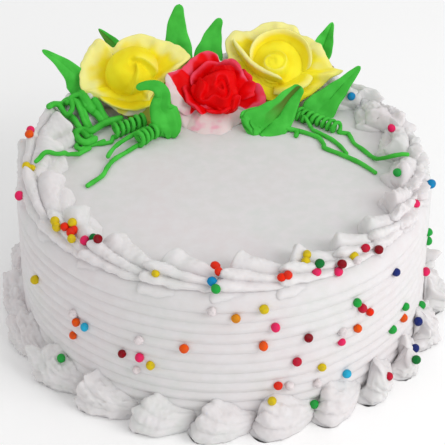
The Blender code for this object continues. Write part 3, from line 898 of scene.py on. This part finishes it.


# ---------------------------------------------------------------- leaves

# route: the midrib in millimetres from the middle of the cake's top. wide_at: where along it
# the leaf is widest, from 0 at its foot to 1 at its point. base: its share of that width at its
# foot. point: the share that it has lost at its point. The painted shade: how strongly a band of
# the leaf is darkened to olive, and where that band lies across the leaf, whose sides are at -1 and
# 1.
CAMERA_SIDE = (0.0, -0.8, 0.6)
LEAF_USUAL = {"base": 0.62, "point": 0.86, "taper": 1.3, "ruffle": 0.2, "groove": 0.15,
              "folds": 0.0, "olive": 0.0, "shade_band": (-1.1, 0.3)}
LEAVES = {
    "leaf_far_left": {
        "route": ((-67, 50, 2), (-70, 54, 9), (-75, 58, 17), (-82, 60, 24), (-91, 62, 30)),
        "width": 13, "thick": 4.0, "cup": 0.15, "wide_at": 0.4, "taper": 0.8},
    "leaf_back_left": {
        "route": ((-49, 80, 13), (-55, 85, 18), (-59.5, 87, 22.5), (-64.5, 88.5, 27.5)),
        "width": 8, "thick": 2.2, "cup": 0.3, "wide_at": 0.3, "olive": 0.7},
    "leaf_tall": {
        "route": ((-20, 68, 3), (-22, 73, 15), (-23.5, 79, 24), (-24, 84, 32), (-22.5, 88, 42)),
        "width": 14, "thick": 5.0, "cup": 0.1, "wide_at": 0.45, "taper": 1.35, "point": 0.72,
        "groove": 0.0},
    "leaf_back_middle": {
        "route": ((-8, 70, 7), (-8, 75, 17), (-6.5, 80, 23), (-4.5, 84, 29), (-1.5, 87, 34.5)),
        "width": 15, "thick": 4.6, "cup": 0.1, "wide_at": 0.35, "taper": 1.2, "point": 0.8,
        "groove": 0.0},
    "leaf_back_right": {
        "route": ((46, 76, 10), (50, 82, 17), (53, 86, 24), (56, 88, 31.5)),
        "width": 11, "thick": 3.0, "cup": 0.5, "wide_at": 0.45, "taper": 1.2, "groove": 0.4},
    "leaf_right": {
        "route": ((44, 45, -1), (49.5, 50, 4), (56, 54, 9.5), (63, 59, 15), (69, 63, 20)),
        "width": 17.5, "thick": 5.2, "cup": 0.2, "wide_at": 0.16, "taper": 0.85, "ruffle": 0.4},
    "leaf_front_right": {
        "route": ((15, 29.0, -0.5), (21.5, 33.5, 3.5), (28.5, 38, 8.5), (33, 42, 13.5),
                  (38.5, 45, 19)),
        "width": 27, "thick": 5.4, "cup": 0.26, "wide_at": 0.12, "taper": 0.8, "olive": 1.0,
        "point": 0.8, "shade_band": (-0.55, 0.0), "folds": 1.1, "groove": 0.8, "base": 0.8},
    "leaf_curled": {
        "route": ((-25.6, 28, -0.5), (-27.8, 30, 8), (-30.8, 31.5, 15), (-30, 33, 21.5),
                  (-32.5, 34, 25), (-37, 34, 26), (-43, 34, 24.5)),
        "width": 15.0, "thick": 6.4, "cup": 0.2, "wide_at": 0.36, "taper": 0.55, "base": 0.5,
        "point": 0.78, "folds": 0.15, "groove": 0.0},
}


def build_leaf(node, leaf, seed, material):
    """A piped leaf: thick ribbon along its route, pointed, with a midrib and soft ruffles."""
    leaf = {**LEAF_USUAL, **leaf}
    route = smooth_route(on_top(leaf["route"]), 0.9 * MM)
    places = np.linspace(0, len(route) - 1, 64)
    middle = np.stack([np.interp(places, np.arange(len(route)), route[:, axis])
                       for axis in range(3)], axis=-1)
    tangent = unit(np.gradient(middle, axis=0))
    side = unit(np.cross(tangent, np.array(CAMERA_SIDE)))
    normal = unit(np.cross(side, tangent))
    s = np.linspace(0, 1, len(places))[:, None]
    q = (end_spacing(34) * 2 - 1)[None, :]
    peak = leaf["wide_at"]
    rise = np.clip(s / peak, 0, 1)
    fall = np.clip((s - peak) / (1 - peak), 0, 1)
    width = np.where(s < peak, leaf["base"] + (1 - leaf["base"]) * np.sin(rise * math.pi / 2),
                     1 - leaf["point"] * fall ** leaf["taper"])
    from_end = np.clip(np.minimum(s, 1 - s) / 0.06, 0, 1)
    blunt_end = np.sqrt(np.clip(1 - (1 - from_end) ** 2, 0, 1))
    half = leaf["width"] / 2 * MM * width * blunt_end
    phase = seed * 1.7
    ruffle = leaf["ruffle"] * MM * np.sin(s * 17 + phase + np.sign(q) * 0.9) * np.abs(q) ** 2
    rib = leaf["cup"] * half * (np.abs(q) ** 1.3 - 0.5)
    groove = -leaf["groove"] * MM * np.exp(-(q / 0.16) ** 2)
    sway = ripple(middle[:, None] + side[:, None] * (q * half)[..., None], seed + 5, 9 * MM)
    folds = (leaf["folds"] * 0.7 * MM * np.sin(q * 11 + phase + 1.6 * sway)
             * np.clip(1 - 1.3 * s, 0, 1) ** 1.2)
    lift = (rib + groove + ruffle + folds) * blunt_end
    edge = 1.0 + 0.03 * np.sin(s * 23 + phase) * np.abs(q)
    points = (middle[:, None] + side[:, None] * (q * half * edge)[..., None]
              + normal[:, None] * lift[..., None])
    points = points + normal[:, None] * (ripple(points, seed, 7 * MM) * 0.3 * MM)[..., None]
    thickness = (leaf["thick"] * MM * np.sqrt(np.clip(1 - np.abs(q) ** 3, 0, 1))
                 * np.clip(1.15 - s, 0.3, 1.0)
                 * np.sqrt(np.clip(1 - np.abs(2 * s - 1) ** 24, 0, 1)))
    # painted shade: an olive band across the leaf, growing from its foot towards its point
    shade_from, shade_to = leaf["shade_band"]
    painted_shade = leaf["olive"] * smoothstep(0.2, 0.7, s) * (q > shade_from) * (q < shade_to)
    pile = Pile()
    pile.add_sheet(points, thickness, olive=painted_shade)
    piece = pile.piece(node + "_cream", material)
    keep_above(piece, CAKE_HEIGHT - 0.6 * MM)
    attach(piece, "root")
    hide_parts(node)
    return piece


# ---------------------------------------------------------------- tendrils

def coil_route(start, end, turns, radius, lift):
    """Points of a coil that lies on the cake from start to end, in millimetres."""
    start = np.array([*start, radius + lift])
    end = np.array([*end, radius + lift])
    up = np.array([0, 0, 1])
    side = unit(np.cross(unit(end - start), up))
    steps = int(turns * 14)
    share = np.arange(steps + 1)[:, None] / steps
    angle = share * turns * 2 * math.pi
    wide = radius * (1.0 + 0.10 * np.sin(share * 9.0))
    return start + (end - start) * share + wide * (side * np.sin(angle) - up * np.cos(angle))


def tube_rings(route, radius, seed):
    """Rings round a route, a little uneven in thickness, with rounded ends."""
    tangent = unit(np.gradient(route, axis=0))
    normal = unit(np.cross(tangent[0], (0.21, 0.34, 0.92)))
    length = np.concatenate([[0], np.cumsum(np.linalg.norm(np.diff(route, axis=0), axis=1))])
    ends = np.minimum(length, length[-1] - length) / radius
    round_end = np.sqrt(np.clip(1 - (1 - np.clip(ends, 0, 1)) ** 2, 0.0, 1))
    coarse = 0.07 * ripple(route, seed, 9 * MM)
    size = radius * (1 + coarse + 0.03 * ripple(route, seed + 1, 3 * MM))
    turn = np.linspace(0, 2 * math.pi, 12, endpoint=False)[:, None]
    rings = []
    for point, way, reach in zip(route, tangent, np.maximum(size * round_end, 0.02 * MM)):
        normal = unit(normal - way * np.dot(normal, way))
        rings.append(point + reach * (np.cos(turn) * normal + np.sin(turn) * np.cross(way, normal)))
    return np.array(rings)


def in_window(measure, values, reach):
    """The measure, such as np.max, of the values within reach places of each value."""
    padded = np.pad(values, reach, mode="edge")
    return np.array([measure(padded[i:i + 2 * reach + 1]) for i in range(len(values))])


def drop_on(tree, points, lift, reach):
    """Lays flat (x, y) points, in millimetres, on the cream's high spots below them."""
    laid = []
    for x, y in smooth_route([(x, y, 0.0) for x, y in points], 0.7)[:, :2]:
        hit = tree.ray_cast(Vector((x * MM, y * MM, 0.2)), Vector((0, 0, -1)))
        laid.append((x * MM, y * MM, hit[0].z if hit[0] else CAKE_HEIGHT))
    laid = np.array(laid)
    even = in_window(np.mean, in_window(np.max, laid[:, 2], reach), reach)
    laid[:, 2] = np.maximum(even, laid[:, 2]) + lift * MM
    return laid


# Coils: start, end, turns, radius. Tails: points from the coil outwards. All in
# millimetres from the middle of the cake's top; thick is the strand's thickness, lift is
# how high its middle lies above the cream, and span is how far its height is evened out.
TENDRILS = {
    "tendril_left_front": {
        "coil": ((-31, 31), (-42, 19), 5, 2.9), "thick": 2.3,
        "tail": ((-46, 15.5), (-47, 13), (-53, 6), (-56, -1), (-58, -8), (-65, -17))},
    "tendril_left_middle": {
        "coil": ((-39, 38), (-54.5, 27), 6, 2.9), "thick": 2.1,
        "tail": ((-53, 22.5), (-60, 20), (-67, 20))},
    "tendril_left_rope": {
        "thick": 3.6, "lift": 3.2,
        "tail": ((-50, 41), (-54, 39), (-59, 36), (-63, 31), (-66, 28), (-70, 29.5), (-73, 26),
                 (-71, 20.5), (-67, 17.5), (-62, 22))},
    "tendril_right_coil": {
        "coil": ((37, 46), (57, 31), 8, 2.3), "thick": 2.1,
        "tail": ((61, 32), (62.5, 27), (64, 21), (67.5, 16), (71.5, 9.5), (75, 4), (79, 0),
                 (83.5, -1.5), (88.5, -2.5)), "span": 9},
    "tendril_right_front": {
        "thick": 2.3, "coil": ((29, 37), (31.5, 34), 1.2, 2.0),
        "tail": ((35, 32), (39, 30.5), (44, 27.5), (47, 25), (49, 19), (49.5, 16), (58, 10),
                 (66, 3), (73, -6))},
}
SPARE_TENDRILS = (
    {"thick": 2.2, "tail": ((-38, 31), (-45, 24), (-52, 15), (-55, 8), (-56, 4)), "lift": 3.4},
    {"thick": 2.3, "tail": ((-58, 23), (-62, 20), (-66, 18), (-70, 14), (-65.5, 16),
                            (-68.5, 12.5), (-72, 8), (-75, 3), (-79, -3.5), (-84.5, -4.5),
                            (-87, -9), (-89, -12)), "span": 7},
    {"thick": 3.2, "tail": ((-81, 33), (-77, 37), (-73, 33), (-69, 27), (-66, 22)), "lift": 2.6},
    {"thick": 3.0, "tail": ((-79, 39), (-74, 41), (-70, 36), (-66, 30)), "lift": 3.0},
    {"thick": 2.6, "tail": ((-86, 31), (-82, 36), (-78, 34), (-75, 37), (-76, 42), (-72, 45),
                            (-68, 40)), "lift": 3.4},
    {"thick": 3.0, "tail": ((-87, 33), (-82, 39), (-77, 44), (-73, 48))},
    {"thick": 2.8, "tail": ((-80, 37), (-80, 43), (-76, 45), (-71, 39), (-67, 31), (-65, 25))},
    {"thick": 2.8, "tail": ((-76, 47), (-72, 44), (-68, 37), (-64, 31))},
    {"thick": 2.4, "tail": ((-62, 26), (-66, 24), (-70, 21), (-72, 17), (-69, 14))},
    {"thick": 2.1, "coil": ((37, 44), (41, 41), 1.4, 1.9),
     "tail": ((43, 37), (44, 33), (47, 30), (53, 24), (57, 18), (60, 11))},
    {"thick": 2.3, "tail": ((36, 32), (36, 28), (35, 26))},
    {"thick": 5.0, "tail": ((-72, 49), (-70, 45), (-67, 42), (-64, 41)), "lift": 2.2},
    {"thick": 4.4, "tail": ((-67, 43), (-63, 41), (-59, 37)), "lift": 1.6},
    {"thick": 4.2, "tail": ((-65.5, 46), (-63.5, 44), (-60.5, 41.5), (-57, 39)), "lift": 0.8},
)


def build_tendril(name, tendril, tree, seed, material):
    """One tendril: its coil, if it has one, and its tail as one tube."""
    radius = tendril["thick"] / 2 * MM
    lift = tendril.get("lift", tendril["thick"] * 0.42)
    route = drop_on(tree, tendril["tail"], lift, tendril.get("span", 4))
    if "coil" in tendril:
        coil = on_top(coil_route(*tendril["coil"], tendril["thick"] * 0.45))
        route = np.vstack([coil, route[3:]])
    pile = Pile()
    pile.add_rings(tube_rings(smooth_route(route, 0.9 * MM), radius, seed), olive=0.0)
    piece = pile.piece(name, material)
    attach(piece, "root")
    return piece


# ---------------------------------------------------------------- sugar pearls

PEARL_COLOURS = {
    "amber": (216, 136, 20), "orange": (230, 84, 10), "scarlet": (226, 42, 12),
    "yellow": (212, 186, 24), "pink": (228, 36, 96), "crimson": (190, 24, 52),
    "dark_red": (134, 2, 20),
    "green": (32, 160, 62), "dark_green": (12, 112, 48), "navy": (28, 42, 112),
    "blue": (14, 132, 186), "cyan": (38, 168, 206), "white": (222, 213, 214),
}
# (azimuth in degrees, height in millimetres) on the side
WALL_PEARLS = {
    "amber": ((3, 66),),
    "orange": ((10, 49), (37, 44), (58, 28), (-42, 43), (-44, 33), (-10, 48)),
    "scarlet": ((41, 50), (14, 25)),
    "yellow": ((-60, 49), (10, 70), (26, 30), (-19, 35)),
    "pink": ((13, 59), (32, 40), (-22, 38), (78, 31)),
    "crimson": ((19, 37), (38, 55)),
    "dark_red": ((22, 49), (-27, 37)),
    "green": ((36, 60), (58, 35), (52, 28), (81, 51), (82, 44.5)),
    "navy": ((51, 63),),
    "cyan": ((34, 20), (-39, 43)),
    "white": ((-3, 70), (32, 46), (17, 24), (25, 21), (-43, 47), (-22, 48), (-23, 30)),
}
# (azimuth, turn about the bead's middle from straight out, both in degrees)
BASE_PEARLS = {
    "green": ((73, 86), (24, 61), (-48, 77)), "navy": ((67, 78), (59, 37)),
    "dark_green": ((55, 26),), "crimson": ((46, 31),), "yellow": ((12, 72),),
}
TOP_PEARLS = {
    "yellow": ((-53, 58), (-52, 51), (-48.8, 80), (-45.5, 49), (-18, 44), (24, 83), (23, 68),
               (37, 37), (-82, 71), (-80, 67)),
    "scarlet": ((-49.8, 63), (-47.5, 62), (-47.4, 72), (15, 39), (16.6, 41), (-1.4, 64),
                (-2.5, 104)),
    "orange": ((-96, 68),), "blue": ((-3, 40), (130, 113), (80, 20)),
    "green": ((-2, 26), (78, 115)), "dark_green": ((-40, 80), (26, 50)),
    "dark_red": ((-37, 73), (32, 33), (45, 22)), "crimson": ((41, 43),),
    "pink": ((-42, 64), (25, 33), (31, 16), (-98, 68), (-73, 26), (105, 107), (69, 32)),
    "white": ((37, 26),),
}
# radius and height of the borders' middles in millimetres
BASE_BEAD = (100.0, 6.0)
TOP_BEAD = (88.0, 76.0)
# how far out of the cream a pearl's middle lies, in radii
PEARL_OUT = 0.45


def back_pearls():
    """Seeded pearls round the back, as thinly strewn as the photo's left side."""
    rng = np.random.default_rng(42)
    names = [name for name in PEARL_COLOURS if name != "white"]

    def strewn(count, azimuths, places):
        """This many (colour, azimuth, place), the numbers within these limits."""
        return [(names[rng.integers(len(names))], rng.uniform(*azimuths), rng.uniform(*places))
                for _ in range(count)]

    return strewn(26, (100, 250), (26, 70)), strewn(16, (142, 228), (20, 110))


def listed(groups):
    """One (colour, azimuth, place) for each pearl of a table."""
    return [(name, *spot) for name, group in groups.items() for spot in group]


def pearl_spots():
    """Each pearl's colour, a far point outside and the direction in which it falls."""
    spots = []
    back_wall, back_top = back_pearls()
    for name, azimuth, height in listed(WALL_PEARLS) + back_wall:
        outside = ring_point(azimuth, 160 * MM, height * MM)
        spots.append((name, outside, ring_point(azimuth, -1.0, 0.0)))
    beads = [(*spot, BASE_BEAD) for spot in listed(BASE_PEARLS)]
    beads += [(*spot, TOP_BEAD) for spot in listed(TOP_PEARLS) + back_top]
    for name, azimuth, turn, (radius, height) in beads:
        turn = math.radians(turn)
        middle = ring_point(azimuth, radius * MM, height * MM)
        aim = ring_point(azimuth, math.cos(turn), math.sin(turn))
        spots.append((name, middle + aim * 60 * MM, -aim))
    return spots


def pearl_ball(centre, radius, rng):
    """A slightly dented ball of rings, closed at its poles."""
    lift = np.linspace(0.04, math.pi - 0.04, 11)[:, None]
    turn = np.linspace(0, 2 * math.pi, 18, endpoint=False)[None, :]
    ball = polar((0.0, 0.0), turn, np.sin(lift), np.cos(lift))
    dents = 1 + 0.035 * ripple(ball, int(rng.integers(1000)), 2.2)
    stretch = 1 + rng.uniform(-0.06, 0.06, 3)
    return centre + ball * dents[..., None] * stretch * radius


def build_pearls(tree):
    """One joined piece for each colour; every pearl sits about a quarter deep in the cream."""
    rng = np.random.default_rng(7)
    piles = {name: Pile() for name in PEARL_COLOURS}
    for name, outside, aim in pearl_spots():
        hit = tree.ray_cast(Vector(outside), Vector(aim))
        if hit[0] is None:
            continue
        radius = PEARL_RADIUS * rng.uniform(0.92, 1.06)
        centre = np.array(hit[0]) - unit(aim) * radius * PEARL_OUT
        piles[name].add_rings(pearl_ball(centre, radius, rng))
    for name, pile in piles.items():
        piece = pile.piece("pearls_" + name, pearl_paint(name, linear(*PEARL_COLOURS[name])))
        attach(piece, "root")


# ---------------------------------------------------------------- stage, light, camera

def surface_tree(pieces):
    """A search tree of the pieces' faces, for laying things on them."""
    points, faces = [], []
    for piece in pieces:
        start = len(points)
        points.extend(vertex.co.copy() for vertex in piece.data.vertices)
        faces.extend([start + index for index in face.vertices] for face in piece.data.polygons)
    return BVHTree.FromPolygons(points, faces)


def build_floor():
    """A plain pale floor with a hint of unevenness in its colour."""
    size = 3.0
    paint = Paint("floor_white", 0.9)
    paint.colour(paint.mix(paint.noise(0.4), linear(253, 253, 253), linear(255, 255, 255)))
    mesh = bpy.data.meshes.new("floor")
    corners = [(-size, -size, 0), (size, -size, 0), (size, size, 0), (-size, size, 0)]
    mesh.from_pydata(corners, [], [(0, 1, 2, 3)])
    mesh.materials.append(paint.material)
    floor = bpy.data.objects.new("floor", mesh)
    bpy.context.scene.collection.objects.link(floor)


def add_light(name, place, target, size, power):
    """A square soft light at place, aimed at target."""
    data = bpy.data.lights.new(name, "AREA")
    data.size = size
    data.energy = power
    light = bpy.data.objects.new(name, data)
    light.location = place
    light.rotation_euler = (Vector(target) - Vector(place)).to_track_quat("-Z", "Y").to_euler()
    bpy.context.scene.collection.objects.link(light)


def build_light():
    """An even white room and one big soft light from the front right."""
    world = bpy.data.worlds.new("studio")
    world.use_nodes = True
    background = world.node_tree.nodes["Background"]
    background.inputs["Color"].default_value = (1.0, 1.0, 1.0, 1.0)
    background.inputs["Strength"].default_value = 0.77
    bpy.context.scene.world = world
    middle = (0.0, 0.0, 0.05)
    add_light("key", (0.85, -0.60, 0.75), middle, 0.7, 6.5)
    bpy.context.scene.view_settings.view_transform = "Standard"


def build_camera():
    """The photo's view: from the front, 35.5 degrees above the horizon, with a long lens."""
    look_at = Vector((-0.0006, 0.0, 0.0455))
    distance = 0.80
    elevation = math.radians(35.5)
    data = bpy.data.cameras.new("camera")
    data.lens = 131.6
    data.sensor_width = 36.0
    data.clip_end = 20.0
    camera = bpy.data.objects.new("camera", data)
    away = Vector((0.0, -math.cos(elevation), math.sin(elevation)))
    camera.location = look_at + away * distance
    camera.rotation_euler = (-away).to_track_quat("-Z", "Y").to_euler()
    bpy.context.scene.collection.objects.link(camera)
    bpy.context.scene.camera = camera


# ---------------------------------------------------------------- the whole scene

def main():
    """The stage, the cake with its borders, then everything that lies on them."""
    build_camera()
    build_light()
    build_floor()
    cream = cream_paint()
    cake = build_cake(cream)
    top = build_border("top_shell", shell_spans(TOP_FRONT_STARTS, TOP_BACK_COUNT), TOP_STYLE,
                       cream, 1000)
    base = build_border("base_shell", shell_spans(BASE_FRONT_STARTS, BASE_BACK_COUNT),
                        BASE_STYLE, cream, 2000)
    tree = surface_tree([cake, *top, *base])

    yellow_left = yellow_paint("yellow_rose_cream", linear(238, 214, 22), linear(244, 230, 38),
                               linear(240, 234, 148))
    yellow_right = yellow_paint("yellow_rose_cream_pale", linear(238, 218, 30),
                                linear(244, 232, 50), linear(240, 234, 152))
    left = build_rose(ROSE_LEFT, PETALS_LEFT, yellow_left, "rose_yellow_left")
    right = build_rose(ROSE_RIGHT, PETALS_RIGHT, yellow_right, "rose_yellow_right")
    red = build_rose(ROSE_RED, PETALS_RED, red_paint(), "rose_red")

    green = green_paint()
    for number, (node, leaf) in enumerate(LEAVES.items()):
        build_leaf(node, leaf, 40 + number, green)
    for number, (node, tendril) in enumerate(TENDRILS.items()):
        strand = build_tendril(node + "_strand", tendril, tree, 60 + number, green)
        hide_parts(node)
    for number, tendril in enumerate(SPARE_TENDRILS, 1):
        build_tendril("tendril_loose_%02d" % number, tendril, tree, 80 + number, green)
    build_pearls(tree)


main()
